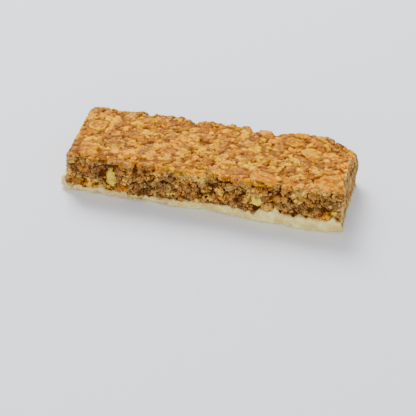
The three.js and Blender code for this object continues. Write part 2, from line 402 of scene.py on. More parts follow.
def places_on(draw, face, pitch):
    """Places scattered over one face of the bar, or along the edge of its top."""
    low = SLAB_FLOOR + 0.5 * mm
    height = THICK_TOP - low
    if face == "top":
        x, y = spread(draw, 2 * HALF_LENGTH, 2 * HALF_WIDTH, pitch).T
        return np.stack([x, y, top_height(x, y)], 1)
    if face == "edge":
        end_inset, side_inset, deepest = 1 * mm, 0.3 * mm, 1.6 * mm
        share = draw.uniform(-1, 1, int(4 * HALF_LENGTH / pitch))
        side = np.where(draw.random(len(share)) < 0.5, -1, 1)
        x = share * (HALF_LENGTH - end_inset)
        y = side * (HALF_WIDTH - side_inset)
        return np.stack([x, y, top_height(x, y) - draw.uniform(0, deepest, len(x))], 1)
    if face in ("front", "back"):
        x, z = spread(draw, 2 * HALF_LENGTH, height, pitch).T
        y = np.full_like(x, HALF_WIDTH if face == "back" else -HALF_WIDTH)
        points = np.stack([x, y, low + height / 2 + z], 1)
    else:
        y, z = spread(draw, 2 * HALF_WIDTH, height + 2 * mm, pitch).T
        x = np.full_like(y, HALF_LENGTH if face == "right" else -HALF_LENGTH)
        points = np.stack([x, y, low + height / 2 - 1 * mm + z], 1)
    return points[points[:, 2] < top_height(points[:, 0], points[:, 1]) - 0.3 * mm]


def nut_boxes():
    """Middle and half size of each nut piece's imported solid, in the slab's own place."""
    boxes = {}
    for name in sorted(frame["nodes"]):
        if name.startswith("nut_piece"):
            low, high = (np.array(corner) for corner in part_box(name))
            boxes[name] = ((low + high) / 2 - MIDDLE, (high - low) / 2)
    return boxes


def clear_of_nuts(points, margin=0.9 * mm):
    """True for the places that no nut piece takes up."""
    clear = np.ones(len(points), bool)
    for middle, half in nut_boxes().values():
        clear &= (((points - middle) / (half + margin)) ** 2).sum(1) > 1
    return clear


def clear_of_coating(points, radius, dip=0.8 * mm):
    """True for the places where a grain of this radius dips no further than dip into the coating."""
    mid_height, corner_size = 8 * mm, 3.5 * mm
    plan = outward(points * [1, 1, 0] + [0, 0, mid_height])[:, :2]
    at_corner = (points[:, 0] > HALF_LENGTH - corner_size) & (points[:, 1] < -HALF_WIDTH + corner_size)
    plan[at_corner] = [0, -1]
    return points[:, 2] > rim_height(points[:, :2], plan) + radius - dip


def into_holes(points, margin=0.0):
    """How deep in one of the front side's gaps each point is: 1 in its middle, 0 well outside it."""
    x, y, z = points.T
    deepest = np.zeros(len(points))
    for middle_x, middle_z, half_x, half_z in FRONT_HOLES:
        hole = (middle_x, middle_z, half_x + margin / mm, half_z + margin / mm)
        deepest = np.maximum(deepest, np.exp(-(away(x, z, hole) ** 3)))
    return deepest * (y < FRONT_ZONE)


def turned(draw, count, tilt):
    """Random rotations whose Z axis leans about tilt (radians) from upright, with any spin."""
    spin = draw.uniform(0, 2 * math.pi, count)
    lean = draw.normal(0, tilt, count)
    toward = draw.uniform(0, 2 * math.pi, count)
    z = np.stack([np.sin(lean) * np.cos(toward), np.sin(lean) * np.sin(toward), np.cos(lean)], 1)
    flat = np.stack([np.cos(spin), np.sin(spin), np.zeros(count)], 1)
    x = flat - (flat * z).sum(1, keepdims=True) * z
    x /= np.maximum(np.linalg.norm(x, axis=1, keepdims=True), TINY)
    return np.stack([x, np.cross(z, x), z], 2)


def lumpy(draw, shape, count, amount, frequency, waves=5):
    """Copies of a unit shape, each swollen and dented in its own way."""
    heading = draw.normal(size=(count, waves, 3)) * frequency
    phase = draw.uniform(0, 2 * math.pi, (count, waves))
    swell = np.sin(np.einsum("vk,gwk->gvw", shape, heading) + phase[:, None]).sum(-1)
    return shape * (1 + amount / math.sqrt(waves) * swell[..., None])


def surface_attributes(points, tone, film=0.0, pool=0.0):
    """What the finishes read at each point, all from about 0 to 1.

    tone is the shade of toast and depth how far in the point lies. glazed, film and pool tell how the
    syrup lies: over a face, in lines and in pools. cut and smear tell where the knife went.
    """
    x, y, z = points.T
    normal = outward(points)
    cut = smooth_step(np.abs(normal[:, 0]), 0.6, 0.9) * (np.abs(x) > HALF_LENGTH - 4 * mm)
    depth = np.clip(-distance(points) * (1 + 0.2 * cut) / FULL_DEPTH, 0, 1)

    below_top = top_height(x, y) - z
    glaze_line = (0.8 + 1.1 * ripple(points, 4.5 * mm, seed=91)) * mm
    run_down = 1 - smooth_step(below_top, glaze_line - 1 * mm, glaze_line + 1 * mm)
    inland = smooth_step(HALF_WIDTH - np.abs(y), 1.2 * mm, 2.6 * mm) * (below_top < 3 * mm)
    drips = 0.35 * smooth_step(ripple(points, 10 * mm, seed=92), 0.5, 1.4)
    glazed = np.maximum(np.maximum(run_down, inland), drips)
    for patch in GLAZED_PATCHES:
        glazed = np.maximum(glazed, 0.6 * (y < 0) * np.exp(-(away(x, z, patch) ** 4)))

    tone = tone + 0.1 * (1 - glazed) * ripple(points, 13 * mm, seed=93)
    for *spot, change in FRONT_SHADES:
        tone = tone + change * np.exp(-(away(x, z, spot) ** 3)) * (y < FRONT_ZONE)

    edge = bell(normal[:, 0], 0.6, 0.16) * (x > HALF_LENGTH - 2.5 * mm) * (normal[:, 1] < 0.3)
    edge = edge * smooth_step(-y, -12 * mm, -2 * mm)
    edge = edge * (1 - smooth_step(np.abs(distance(points)), 0.2 * mm, 0.5 * mm))
    patchy = 0.6 + 0.5 * ripple(points, 3 * mm, seed=94) + 0.8 * (1 - smooth_step(z, 6 * mm, 12 * mm))
    smear = edge * np.clip(patchy, 0, 1)
    values = dict(tone=tone, depth=depth, glazed=glazed, film=film, pool=pool, cut=cut, smear=smear)
    return {key: np.broadcast_to(value, depth.shape) for key, value in values.items()}


def grain_piece(name, material, seed, shape, pitches, size, depth, tilt, lumps, frequency):
    """Scatters one kind of grain over faces of the bar and joins it into one piece.

    pitches tells how far apart the grains lie on each face, in millimetres. size is a usual grain's
    length, width and thickness, and depth is how far under the outer form their middles lie, at least
    and at most.
    """
    draw = np.random.default_rng(seed)
    places = np.concatenate([places_on(draw, face, pitch * mm) for face, pitch in pitches.items()])
    places = settle(places, draw.uniform(*depth, len(places)))
    places = places[clear_of_nuts(places) & clear_of_coating(places, size[0] / 2)]
    hole_margin, too_deep = 0.3 * size[0], 0.4
    places = places[into_holes(places, hole_margin) < too_deep]
    count = len(places)
    size_scatter, shape_scatter = 0.22, 0.12
    scatter = draw.normal(0, size_scatter, (count, 1)) + draw.normal(0, shape_scatter, (count, 3))
    half_sizes = np.array(size) / 2 * np.exp(scatter)
    unit, faces = shape
    grains = lumpy(draw, unit, count, lumps, frequency) * half_sizes[:, None, :]
    grains = np.einsum("gij,gvj->gvi", turned(draw, count, tilt), grains) + places[:, None, :]
    points = press(grains.reshape(-1, 3))
    faces = (faces + np.arange(count)[:, None, None] * len(unit)).reshape(-1, 3)
    commonest_tone = 0.45
    tone = np.repeat(draw.triangular(0, commonest_tone, 1, count), len(unit))
    attributes = surface_attributes(points, tone)
    new_piece(name, points, faces.tolist(), material, (), attributes)


# ---- the pressed top


def pressed_crisps(draw):
    """Place, half length, half width, turn, level, lean and tone of each crisp in the top."""
    rows = []
    for x, y in spread(draw, 2 * HALF_LENGTH + 2 * mm, 2 * HALF_WIDTH + 2 * mm, 2.2 * mm):
        half_length = np.clip(1.6 * np.exp(draw.normal(0, 0.3)), 0.9, 3.2) * mm
        half_width = half_length * draw.uniform(0.5, 0.9)
        level = draw.normal(-0.1, 0.1) * mm
        turn = draw.normal(0, 0.6)
        lean = draw.normal(0, 0.12, 2)
        rows.append((x, y, half_length, half_width, turn, level, *lean, draw.uniform(0.0, 0.9)))
    flake_level = 0.12 * mm
    for x, y, length, width, turn, tone in PRESSED_FLAKES:
        plan = (x * mm, y * mm, length / 2 * mm, width / 2 * mm, math.radians(turn))
        rows.append((*plan, flake_level, 0, 0, tone))
    return rows


def pressed_top(points):
    """Height over the bar's outer form, tone, syrup lines and syrup pools of the crisps in the top."""
    draw = np.random.default_rng(5)
    place = points * [1, 1, 0]
    x = place[:, 0] + 0.3 * mm * ripple(place, 2.4 * mm, seed=6)
    y = place[:, 1] + 0.3 * mm * ripple(place, 2.4 * mm, seed=7)
    bottom, dome_height = -2 * mm, 0.95 * mm
    height = np.full(len(x), bottom)
    second = height.copy()
    tone = np.zeros(len(x))
    order = np.argsort(x)
    sorted_x = x[order]
    for cx, cy, half_length, half_width, turn, level, lean_x, lean_y, shade in pressed_crisps(draw):
        first, last = np.searchsorted(sorted_x, [cx - half_length, cx + half_length])
        near = order[first:last]
        dx, dy = x[near] - cx, y[near] - cy
        u = (dx * math.cos(turn) + dy * math.sin(turn)) / half_length
        v = (dy * math.cos(turn) - dx * math.sin(turn)) / half_width
        reach = u * u + v * v
        dome = dome_height * (np.sqrt(np.clip(1 - reach**2.2, 0, 1)) - 1)
        dome = np.where(reach < 1, dome + level + lean_x * dx + lean_y * dy, bottom)
        higher = dome > height[near]
        second[near] = np.where(higher, height[near], np.maximum(second[near], dome))
        height[near[higher]] = dome[higher]
        # Each crisp darkens towards its rim: partly syrup at its edges, partly painted shade of its dome.
        tone[near[higher]] = shade + 0.3 * (reach[higher] - 0.35)

    crease = 1 - smooth_step(height - second, 0.0 * mm, 0.2 * mm)
    crease = crease * smooth_step(ripple(place, 4 * mm, seed=11), -1.1, 0.7)
    highest = 0.12 * mm
    height = np.where(height > 0, highest * (1 - np.exp(-height / highest)), height)
    height = height + 0.06 * mm * ripple(place, 0.9 * mm, seed=8) - 0.22 * mm * crease

    pool = 0 * x
    for middle_x, middle_y, half in SYRUP_POOLS:
        pool = np.maximum(pool, np.exp(-(away(x, y, (middle_x, middle_y, half, half)) ** 3)))
    syrup = (-0.72 + 0.12 * ripple(place, 9 * mm, seed=9) + 0.5 * pool) * mm
    ribbon = np.quantile(height, 0.22) + 0.14 * mm * ripple(place, 6 * mm, seed=12)
    film = np.maximum(smooth_step(ribbon - height, -0.12 * mm, 0.1 * mm), 0.75 * crease)
    blend = 0.08 * mm
    surface = blend * np.logaddexp(height / blend, syrup / blend)

    groove_place, groove_width, groove_depth = 1.08, 0.45 * mm, 0.4 * mm
    for middle, half in nut_boxes().values():
        out = np.hypot((x - middle[0]) / half[0], (y - middle[1]) / half[1]) / groove_place
        groove = np.exp(-(((out - 1) * half.min() / groove_width) ** 2))
        surface = surface - groove_depth * groove
        film = np.maximum(film, 0.9 * groove)
    for hole in TOP_HOLES:
        surface = surface - 1.5 * mm * np.exp(-(away(x, y, hole) ** 3))
    porous = np.maximum(0.35 + 0.65 * crease, smooth_step(ripple(place, 9 * mm, seed=14), 0, 1.5))
    pits = np.clip(ripple(place, 1.7 * mm, seed=10) - 0.95, 0, 0.8) * porous
    return surface - 1.6 * mm * pits, tone, film, pool


# ---- nut pieces

# Each nut piece: tone in its middle, round its rim and along its front (paler, partly painted light on
# the front); how lumpy and how dished it is, in millimetres; how full its corners are (2 makes a ball);
# flat broken faces; stretch along; turn, degrees.
NUT_LOOKS = {
    "nut_piece_1": (0.5, 0.05, 0.0, 0.15, 0.55, 2.6, 3, 1.0, 0),
    "nut_piece_2": (0.16, 0.25, 0.2, 0.3, 0.0, 2.8, 2, 1.1, 0),
    "nut_piece_3": (0.45, 0.4, 0.0, 0.25, 0.2, 2.2, 2, 1.3, -12),
    "nut_piece_4": (0.5, 0.15, 0.0, 0.35, 0.3, 3, 5, 1.0, 0),
    "nut_piece_5": (0.35, 0.45, 0.2, 0.85, 0.0, 2.2, 4, 1.0, 0),
    "nut_piece_6": (0.48, 0.3, 0.3, 0.35, 0.3, 2.6, 5, 1.0, 0),
    "nut_piece_7": (0.4, 0.4, 0.3, 0.25, 0.0, 2.3, 5, 1.0, 0),
    "nut_piece_8": (0.4, 0.5, 0.3, 0.3, 0.0, 2.3, 5, 1.0, 0),
}


def broken_nut(seed, half, lumps, fullness, broken, stretch, turn):
    """Directions from the middle, faces and points of a nut piece with flat places where it broke."""
    draw = np.random.default_rng(seed)
    oversize = 1.12  # makes up for what the broken faces take off
    unit, faces = ball(5)
    full = unit / (np.abs(unit) ** fullness).sum(1, keepdims=True) ** (1 / fullness)
    points = full * (1 + 0.07 * ripple(unit, 1.6, seed)[:, None])
    for _ in range(broken):
        heading = draw.normal(size=3) * [1, 1, 0.25]
        heading /= np.linalg.norm(heading)
        over = points @ heading - draw.uniform(0.74, 0.95)
        points = points - np.maximum(over, 0)[:, None] * heading
    grain = ripple(unit * half, 1.8 * mm, seed) + ripple(unit * half, 3.6 * mm, seed + 20)
    points = points * half * [oversize * stretch, oversize, oversize]
    points = points + 0.7 * lumps * grain[:, None] * unit
    x, y, z = points.T
    cosine, sine = math.cos(math.radians(turn)), math.sin(math.radians(turn))
    return unit, faces, np.stack([x * cosine - y * sine, x * sine + y * cosine, z], 1)


# ---- the white coating

# Where the coating's rim climbs or dips on the front side: place along, half length and rise.
FRONT_RIM = (
    (-54, 0.8, -2.4), (-42, 2.2, 0.9), (17.5, 1.8, -0.9), (20.8, 1.1, -1.8), (25, 2, 1),
    (29.8, 1, 2.6), (36.7, 1.6, -1.3), (39.8, 1.2, 1.1), (42, 1, -1.2), (53, 1.2, 1.6),
)

# Where the coating's foot swells or draws in along the front side, in the same way.
FRONT_FOOT = (
    (-54.2, 0.8, -1.2), (-43, 3.5, -0.8), (-22, 2.5, -0.5), (-8, 4, 0.5), (6, 3, -0.2),
    (22, 4, 0.3), (32, 1.8, -0.9), (41, 5, 0.5), (54, 4, -0.8),
)

BARE_SPOT, BARE_HALF = -27.7 * mm, 3.6 * mm  # the front side's spot with hardly any coating
COATING_CORNER = FRONT_CORNER_RADIUS + 0.8 * mm  # plan radius of the coating's front corners
FOOT_EDGE = 1.3 * mm  # radius of the foot
FOOT_SPLAY = 1.2 * mm  # how far the foot runs out at the -X end
COATING_WALL, COATING_FLOOR = 1.3 * mm, 1.7 * mm  # its thickness at the sides and under the bar
RIM_ROUND = 0.35 * mm  # height of the rim's rounded lip
SIDE_RIM, SIDE_CLIMB = 3.2 * mm, 3 * mm  # rim height on the long sides, and its climb towards +X
THICK_END_RIM, THIN_END_RIM, PUDDLE_RISE = 0.6 * mm, 3 * mm, 1.6 * mm  # and on the two cut ends
BARE_RIM, LOWEST_RIM = 0.7 * mm, 0.5 * mm


def plan_outline(step=0.4 * mm):
    """Points round the bar's plan, anticlockwise, with the outward direction at each."""
    points, normals = [], []
    half = np.array([HALF_LENGTH, HALF_WIDTH])
    radii = (COATING_CORNER, CORNER_RADIUS, CORNER_RADIUS, COATING_CORNER)
    corners = list(zip(((1, -1), (1, 1), (-1, 1), (-1, -1)), radii))
    for index, (corner, radius) in enumerate(corners):
        turn = (index - 1) * math.pi / 2 + np.linspace(0, math.pi / 2, 14)
        normal = np.stack([np.cos(turn), np.sin(turn)], 1)
        arc = (half - radius) * corner + radius * normal
        next_corner, next_radius = corners[(index + 1) % 4]
        straight = (half - next_radius) * next_corner + next_radius * normal[-1] - arc[-1]
        length = np.linalg.norm(straight)
        share = np.arange(step, length, step)[:, None] / length
        points += [arc, arc[-1] + share * straight]
        normals += [normal, np.repeat(normal[-1:], len(share), 0)]
    points, normals = np.concatenate(points), np.concatenate(normals)
    x, y = points.T
    at_end = smooth_step(np.abs(x), HALF_LENGTH - 4 * mm, HALF_LENGTH)
    reach = (end_reach(x, y, 3 * mm) - HALF_LENGTH) * at_end
    bowed = side_bow(x, y) * smooth_step(np.abs(normals[:, 1]), 0, 1)
    return points + np.stack([np.sign(x) * reach, np.sign(y) * bowed], 1), normals


def puddle(x, y):
    """1 where the coating puddled at the -X end's front corner, and 0 clear of it."""
    return smooth_step(-x, HALF_LENGTH - 3 * mm, HALF_LENGTH) * smooth_step(-y, 3 * mm, 12 * mm)


def rim_height(points, normals):
    """How high the coating climbs at each point of the outline.

    It climbs higher along the bar to its thicker end, hardly at all on the +X end, and leaves a bare
    spot on the front side.
    """
    x, y = points.T
    place = np.stack([x, y, 0 * x], 1)
    long_side = smooth_step(np.abs(normals[:, 1]), 0.3, 0.9)
    side = SIDE_RIM + SIDE_CLIMB * smooth_step(x, -20 * mm, 45 * mm)
    side = side + np.where(y < 0, bells(x, FRONT_RIM), 0.6 * mm * ripple(place, 9 * mm, seed=71))
    end = np.where(x > 0, THICK_END_RIM, THIN_END_RIM + PUDDLE_RISE * puddle(x, y))
    rim = side * long_side + end * (1 - long_side)
    rim = rim + 0.3 * mm * ripple(place, 3.2 * mm, seed=72) + 0.12 * mm * ripple(place, 1.2 * mm, seed=73)
    bare = np.where(y < 0, 1 - smooth_step(np.abs(x - BARE_SPOT) / BARE_HALF, 0.7, 1.1), 0)
    return np.maximum(rim * (1 - bare) + BARE_RIM * bare, LOWEST_RIM)


def coating_tray():
    """Points, faces and darkening of the coating: partly syrup stain, partly painted shade.

    Its rings run from the middle of its underside out, round its foot, up its sides, over its rim and
    back in over its floor, under the grains.
    """
    outline, normals = plan_outline()
    rim = rim_height(outline, normals)
    x = outline[:, 0]
    place = np.column_stack([outline, 0 * x])
    foot = (1 - smooth_step(x, -HALF_LENGTH - 1 * mm, -HALF_LENGTH + 6 * mm)) * FOOT_SPLAY
    at_thick_end = smooth_step(normals[:, 0], 0.2, 0.8)
    thicker = 0.45 * mm * smooth_step(x, 10 * mm, 38 * mm)
    proud = 0.25 * mm + thicker - 0.65 * mm * at_thick_end
    on_front = normals[:, 1] < -0.7
    swell = np.where(on_front, bells(x, FRONT_FOOT), 0.4 * mm * ripple(place, 12 * mm, seed=74))
    swell = (swell + 0.22 * mm * ripple(place, 4.5 * mm, seed=75) - 0.15 * mm) * (1 - 0.8 * at_thick_end)
    low = np.minimum(FOOT_EDGE, 0.6 * rim)
    inner = (0.85, 0.6, 0.3, 0.02)  # sizes of the rings under and over the coating's floor
    rings = [(-FOOT_EDGE, 0.0, scale) for scale in reversed(inner)]
    for turn in np.linspace(0, math.pi / 2, 6):
        offset = proud + foot + swell - FOOT_EDGE * (1 - math.sin(turn))
        rings.append((offset, low * (1 - math.cos(turn)), 1))
    for share in np.linspace(0.1, 1, 10):
        bulge = np.sin(math.pi * share) * 0.25 * mm + swell * (1 - share)
        height = low * (1 - share) + (rim - RIM_ROUND) * share
        rings.append((proud + bulge + foot * (1 - 0.6 * share), height, 1))
    for turn in np.linspace(0.3, math.pi / 2, 5):
        height = rim - RIM_ROUND * (1 - math.sin(turn))
        rings.append((proud + foot * 0.4 - 0.5 * mm * (1 - math.cos(turn)), height, 1))
    rings.append((-COATING_WALL, rim - 0.2 * mm, 1))
    rings.append((-COATING_WALL, (rim + COATING_FLOOR) / 2, 1))
    rings.append((-COATING_WALL - 0.3 * mm, COATING_FLOOR, 1))
    rings += [(-COATING_WALL, COATING_FLOOR, scale) for scale in inner]

    rows = []
    for offset, height, scale in rings:
        plan = (outline + normals * np.broadcast_to(offset, x.shape)[:, None]) * scale
        rows.append(np.column_stack([plan, np.broadcast_to(height, x.shape)]))
    points = np.concatenate(rows)
    count = len(outline)
    level = np.arange(len(rings))
    side = np.repeat((level > 4) & (level < 24), count)  # the rings from the foot to the rim
    lumps = (0.3 - 0.14 * smooth_step(points[:, 0], -10 * mm, 35 * mm)) * mm
    lumps = lumps * (ripple(points, 4 * mm, seed=81) + 0.8 * ripple(points, 1.9 * mm, seed=84)) * side
    points[:, :2] += lumps[:, None] * np.tile(normals, (len(rings), 1))

    # Darker near the rim and at the thin -X end: partly syrup stain, partly painted shade under the bar.
    near_rim = 1 - smooth_step(np.tile(rim, len(rings)) - points[:, 2], 0, 1.1 * mm)
    near_rim = near_rim * (0.55 + 0.45 * ripple(points, 3 * mm, seed=82))
    thin_end = 0.45 * (1 - smooth_step(points[:, 0], -30 * mm, 10 * mm))
    thin_end = thin_end * (0.8 + 0.5 * ripple(points, 5 * mm, seed=83))
    stain_and_shade = np.clip(np.maximum(near_rim, thin_end), 0, 1) * side

    row = np.arange(len(rings) - 1)[:, None] * count
    column = np.arange(count)
    following = (column + 1) % count
    faces = np.stack([row + column, row + following, row + count + following, row + count + column], -1)
    faces = faces.reshape(-1, 4).tolist()
    under, over, last = len(points), len(points) + 1, len(points) - count
    faces += [(under, int(b), int(a)) for a, b in zip(column, following)]
    faces += [(over, last + int(a), last + int(b)) for a, b in zip(column, following)]
    points = np.concatenate([points, [[0, 0, 0], [0, 0, COATING_FLOOR]]])
    return points, faces, np.append(stain_and_shade, [0, 0])


# ---- finishes

# Shades of toast from the palest grain to the darkest, dry at the torn sides and glazed on top.
DRY_OAT = [(0.0, "F8CC60"), (0.25, "D2A458"), (0.5, "B88C4E"), (0.75, "946638"), (1.0, "5C3A1E")]
DRY_CRISP = [(0.0, "FACC52"), (0.15, "D4A24C"), (0.35, "BA8748"), (0.55, "9E7542"), (0.78, "80562C"),
             (1.0, "502C12")]
DRY_CRUMB = [(0.0, "FACE56"), (0.15, "D09C4C"), (0.35, "AE783E"), (0.55, "906A3E"), (0.78, "6C4624"),
             (1.0, "40200C")]
GLAZED = [(0.0, "FFB600"), (0.25, "E49900"), (0.45, "CA8300"), (0.65, "B26E08"), (0.85, "985E20"),
          (1.0, "7E4A1C")]
ROASTED = [(0.0, "ECA800"), (0.25, "D08A00"), (0.5, "C07000"), (0.75, "AE5C00"), (1.0, "8A4000")]
BARE_NUT = [(0.0, "F8DC50"), (0.4, "E0BE40"), (0.8, "AC8434"), (1.0, "70501E")]

# Settings of the nodes that lay colour B over colour A, tint A with B, and multiply (and add) values.
LAID_OVER = {"data_type": "RGBA"}
TINTED = {"data_type": "RGBA", "blend_type": "MULTIPLY"}
MULTIPLIED = {"operation": "MULTIPLY"}
MULTIPLIED_ADDED = {"operation": "MULTIPLY_ADD"}


def grain_finish(name, colours, dry_toast, glazed_toast, pore_size, roughness, pore_shade_strength=0.85, is_nut=False):
    """Toasted cereal, or roasted nut, set in glucose syrup.

    Each grain has its own shade of toast, cereal more amber in some places and yellower in others. The
    syrup glazes the pressed top, which makes it more golden, and pinkish syrup has soaked in here and
    there. The torn sides show dry, porous crumb. Its gaps darken towards syrup brown with depth, partly
    brown syrup and partly painted shade, and its open pores are darkened as painted shade.
    """
    material, tree = new_material(name)
    tone, depth, glazed, film, pool, cut, smear = (
        add_node(tree, "Attribute", {"attribute_name": key}).outputs["Fac"]
        for key in ("tone", "depth", "glazed", "film", "pool", "cut", "smear")
    )
    place = add_node(tree, "TexCoord").outputs["Object"]
    drawn_out = add_node(tree, "Mapping", {}, {"Vector": place, "Scale": (1.0, 1.0, 0.2)}, "along the cut")
    mottle, hue, streaks, pores = (
        add_node(
            tree, "TexNoise", {},
            {"Vector": vector, "Scale": 1 / size, "Detail": detail, "Roughness": rough}, label,
        )
        for label, vector, size, detail, rough in (
            ("bran and scorch marks, 1.3 mm", place, 1.3 * mm, 4.0, 0.7),
            ("amber and yellow places, 5.5 mm", place, 5.5 * mm, 2.0, 0.5),
            ("crumb smeared up and down, 2.2 mm", drawn_out, 2.2 * mm, 4.0, 0.6),
            ("burst bubbles in the crumb", place, pore_size, 2.0, 0.6),
        )
    )
    soak = add_node(
        tree, "TexNoise", {"noise_dimensions": "4D"},
        {"Vector": place, "W": 7.0, "Scale": 1 / (5 * mm), "Detail": 2.0, "Roughness": 0.5},
        "where syrup soaked in, 5 mm",
    )
    tint = 0.0 if is_nut else 1.0
    amber, yellow, soaked, streak, painted_pore_shade, sunk = (
        add_node(
            tree, "MapRange", {"interpolation_type": rise},
            {"Value": value, "From Min": start, "From Max": end, "To Max": most}, label,
        )
        for label, value, start, end, most, rise in (
            ("amber places", hue, 0.5, 0.4, tint, "LINEAR"),
            ("yellow places", hue, 0.5, 0.6, tint, "LINEAR"),
            ("soaked places", soak, 0.52, 0.63, 0.55 * tint, "LINEAR"),
            ("smeared places", streaks, 0.42, 0.58, 1.0, "LINEAR"),
            # the open pores below are painted shade; the gaps hold syrup and painted shade together
            ("painted shade in open pores", pores, 0.47, 0.37, pore_shade_strength, "SMOOTHSTEP"),
            ("syrup and painted shade in the gaps", depth, 0.15, 0.6, 0.95, "SMOOTHSTEP"),
        )
    )
    scorch = add_node(tree, "Math", MULTIPLIED_ADDED, {0: mottle, 1: 1.3, 2: -0.7})
    shade = add_node(tree, "Math", {"operation": "ADD", "use_clamp": True}, {0: tone, 1: scorch})
    dry = add_node(tree, "ValToRGB", {}, {"Fac": shade}, "dry grain")
    set_ramp(dry, dry_toast)
    coated = add_node(tree, "ValToRGB", {}, {"Fac": shade}, "grain under glaze")
    set_ramp(coated, glazed_toast)
    for factor, dry_tint, coated_tint in (
        (amber, (1.08, 0.93, 0.7, 1), (1.02, 0.87, 0.5, 1)),
        (yellow, (0.93, 1.02, 1.0, 1), (0.94, 1.06, 0.8, 1)),
    ):
        dry = add_node(tree, "Mix", TINTED, {"Factor": factor, "A": dry, "B": dry_tint})
        coated = add_node(tree, "Mix", TINTED, {"Factor": factor, "A": coated, "B": coated_tint})
    coated = add_node(tree, "Mix", LAID_OVER, {"Factor": soaked, "A": coated, "B": colours.blush})

    in_lines = colours.nut_lines if is_nut else colours.film
    syrup = add_node(tree, "Mix", LAID_OVER, {"Factor": pool, "A": in_lines, "B": colours.pool})
    on_cut = add_node(tree, "Math", MULTIPLIED, {0: cut, 1: streak})
    unglazed = add_node(tree, "Math", MULTIPLIED_ADDED, {0: glazed, 1: -0.3, 2: 1.0})
    # darkest where syrup and painted shade gather in the gaps, and painted shade in the open pores
    syrup_and_painted_shade = add_node(tree, "Math", {"operation": "MAXIMUM"}, {0: sunk, 1: painted_pore_shade})
    syrup_and_painted_shade = add_node(tree, "Math", MULTIPLIED, {0: syrup_and_painted_shade, 1: unglazed})
    look = dry
    for label, factor, colour in (
        ("glaze", glazed, coated),
        ("syrup in lines and pools", film, syrup),
        ("crumb smeared on the cut ends", on_cut, colours.cut_crumb),
        ("coating dragged up an edge", smear, colours.coating),
        ("syrup and painted shade in gaps and pores", syrup_and_painted_shade, colours.syrup),
    ):
        look = add_node(tree, "Mix", LAID_OVER, {"Factor": factor, "A": look, "B": colour}, label)
    bump = add_node(tree, "Bump", {}, {"Height": pores, "Strength": 0.7, "Distance": 0.35 * mm})
    shader = add_node(
        tree, "BsdfPrincipled", {},
        {
            "Base Color": look,
            "Roughness": roughness,
            "IOR": 1.45,
            "Specular IOR Level": 0.04,
            "Normal": bump,
        },
    )
    add_node(tree, "OutputMaterial", {}, {"Surface": shader})
    return material


def coating_finish(colours):
    """Yoghurt-style coating, a white fat-based confectionery glaze poured and set.

    It is satin ivory and yellower where it is thin. Near its rim and at its thin end it is darker, partly
    syrup stain and partly painted shade where the bar overhangs it.
    """
    material, tree = new_material("yoghurt_coating")
    place = add_node(tree, "TexCoord").outputs["Object"]
    cloud = add_node(
        tree, "TexNoise", {}, {"Vector": place, "Scale": 1 / (6 * mm), "Detail": 4.0, "Roughness": 0.8},
        "thick and thin places, 6 mm",
    )
    thin = add_node(tree, "MapRange", {}, {"Value": cloud, "From Min": 0.42, "From Max": 0.58})
    stain_and_shade = add_node(tree, "Attribute", {"attribute_name": "stain_and_shade"}).outputs["Fac"]
    white = {"Factor": thin, "A": colours.coating, "B": colours.coating_thin}
    white = add_node(tree, "Mix", LAID_OVER, white)
    # darker where syrup stains it and where shade under the bar is painted
    stained_and_shaded = {"Factor": stain_and_shade, "A": white, "B": colours.coating_stained_and_shaded}
    stained_and_shaded = add_node(tree, "Mix", LAID_OVER, stained_and_shaded)
    pits = add_node(
        tree, "TexNoise", {}, {"Vector": place, "Scale": 1 / (1.2 * mm), "Detail": 3.0},
        "air bubbles and dimples, 1.2 mm",
    )
    bump = add_node(tree, "Bump", {}, {"Height": pits, "Strength": 1.0, "Distance": 0.7 * mm})
    shader = add_node(
        tree, "BsdfPrincipled", {},
        {
            "Base Color": stained_and_shaded,
            "Roughness": 0.45,
            "IOR": 1.46,
            "Specular IOR Level": 0.4,
            "Normal": bump,
            "Subsurface Weight": 0.2,
            "Subsurface Radius": (1.0, 0.8, 0.4),
            "Subsurface Scale": 1 * mm,
        },
    )
    add_node(tree, "OutputMaterial", {}, {"Surface": shader})
    return material


# ---- pieces


class BAR_OT_syrup_mass(Operator):
    """Builds the mass of syrup and crisps: a pressed mosaic on top, torn and sunk at the sides"""

    bl_idname = "bar.syrup_mass"
    bl_label = "Syrup mass"

    def execute(self, context):
        cells = (400, 128, 36)  # along, across and up, about 0.3 mm each on top
        units, faces = lattice_box(cells)
        low = np.array([-HALF_LENGTH, -HALF_WIDTH, SLAB_FLOOR])
        high = np.array([HALF_LENGTH, HALF_WIDTH, THICK_TOP])
        outer = settle(low + units * (high - low), 0.0)
        normal = outward(outer)
        raised, tone, film, pool = pressed_top(outer)
        topside = smooth_step(normal[:, 2], 0.3, 0.75)
        sunk = by_face(normal, top=1.15, side=1.15, end=0.5) * mm
        rough = by_face(normal, top=0.35, side=0.35, end=0.15) * mm
        torn = rough * ripple(outer, 2.2 * mm, seed=3) - sunk
        raised = torn + (raised - torn) * topside
        hole_depth = 1.6 * mm
        points = outer + (raised - hole_depth * into_holes(outer))[:, None] * normal
        points[-1] = [0, 0, SLAB_FLOOR]  # the middle of the floor stays put
        attributes = surface_attributes(points, tone, film * topside, pool * topside)
        colours = context.scene.bar_colours
        material = grain_finish(
            "crisps_in_set_syrup", colours, DRY_CRISP, GLAZED, pore_size=0.8 * mm, roughness=0.5
        )
        new_piece("syrup_mass", points, faces, material, ["crisp_slab"], attributes)
        return {"FINISHED"}


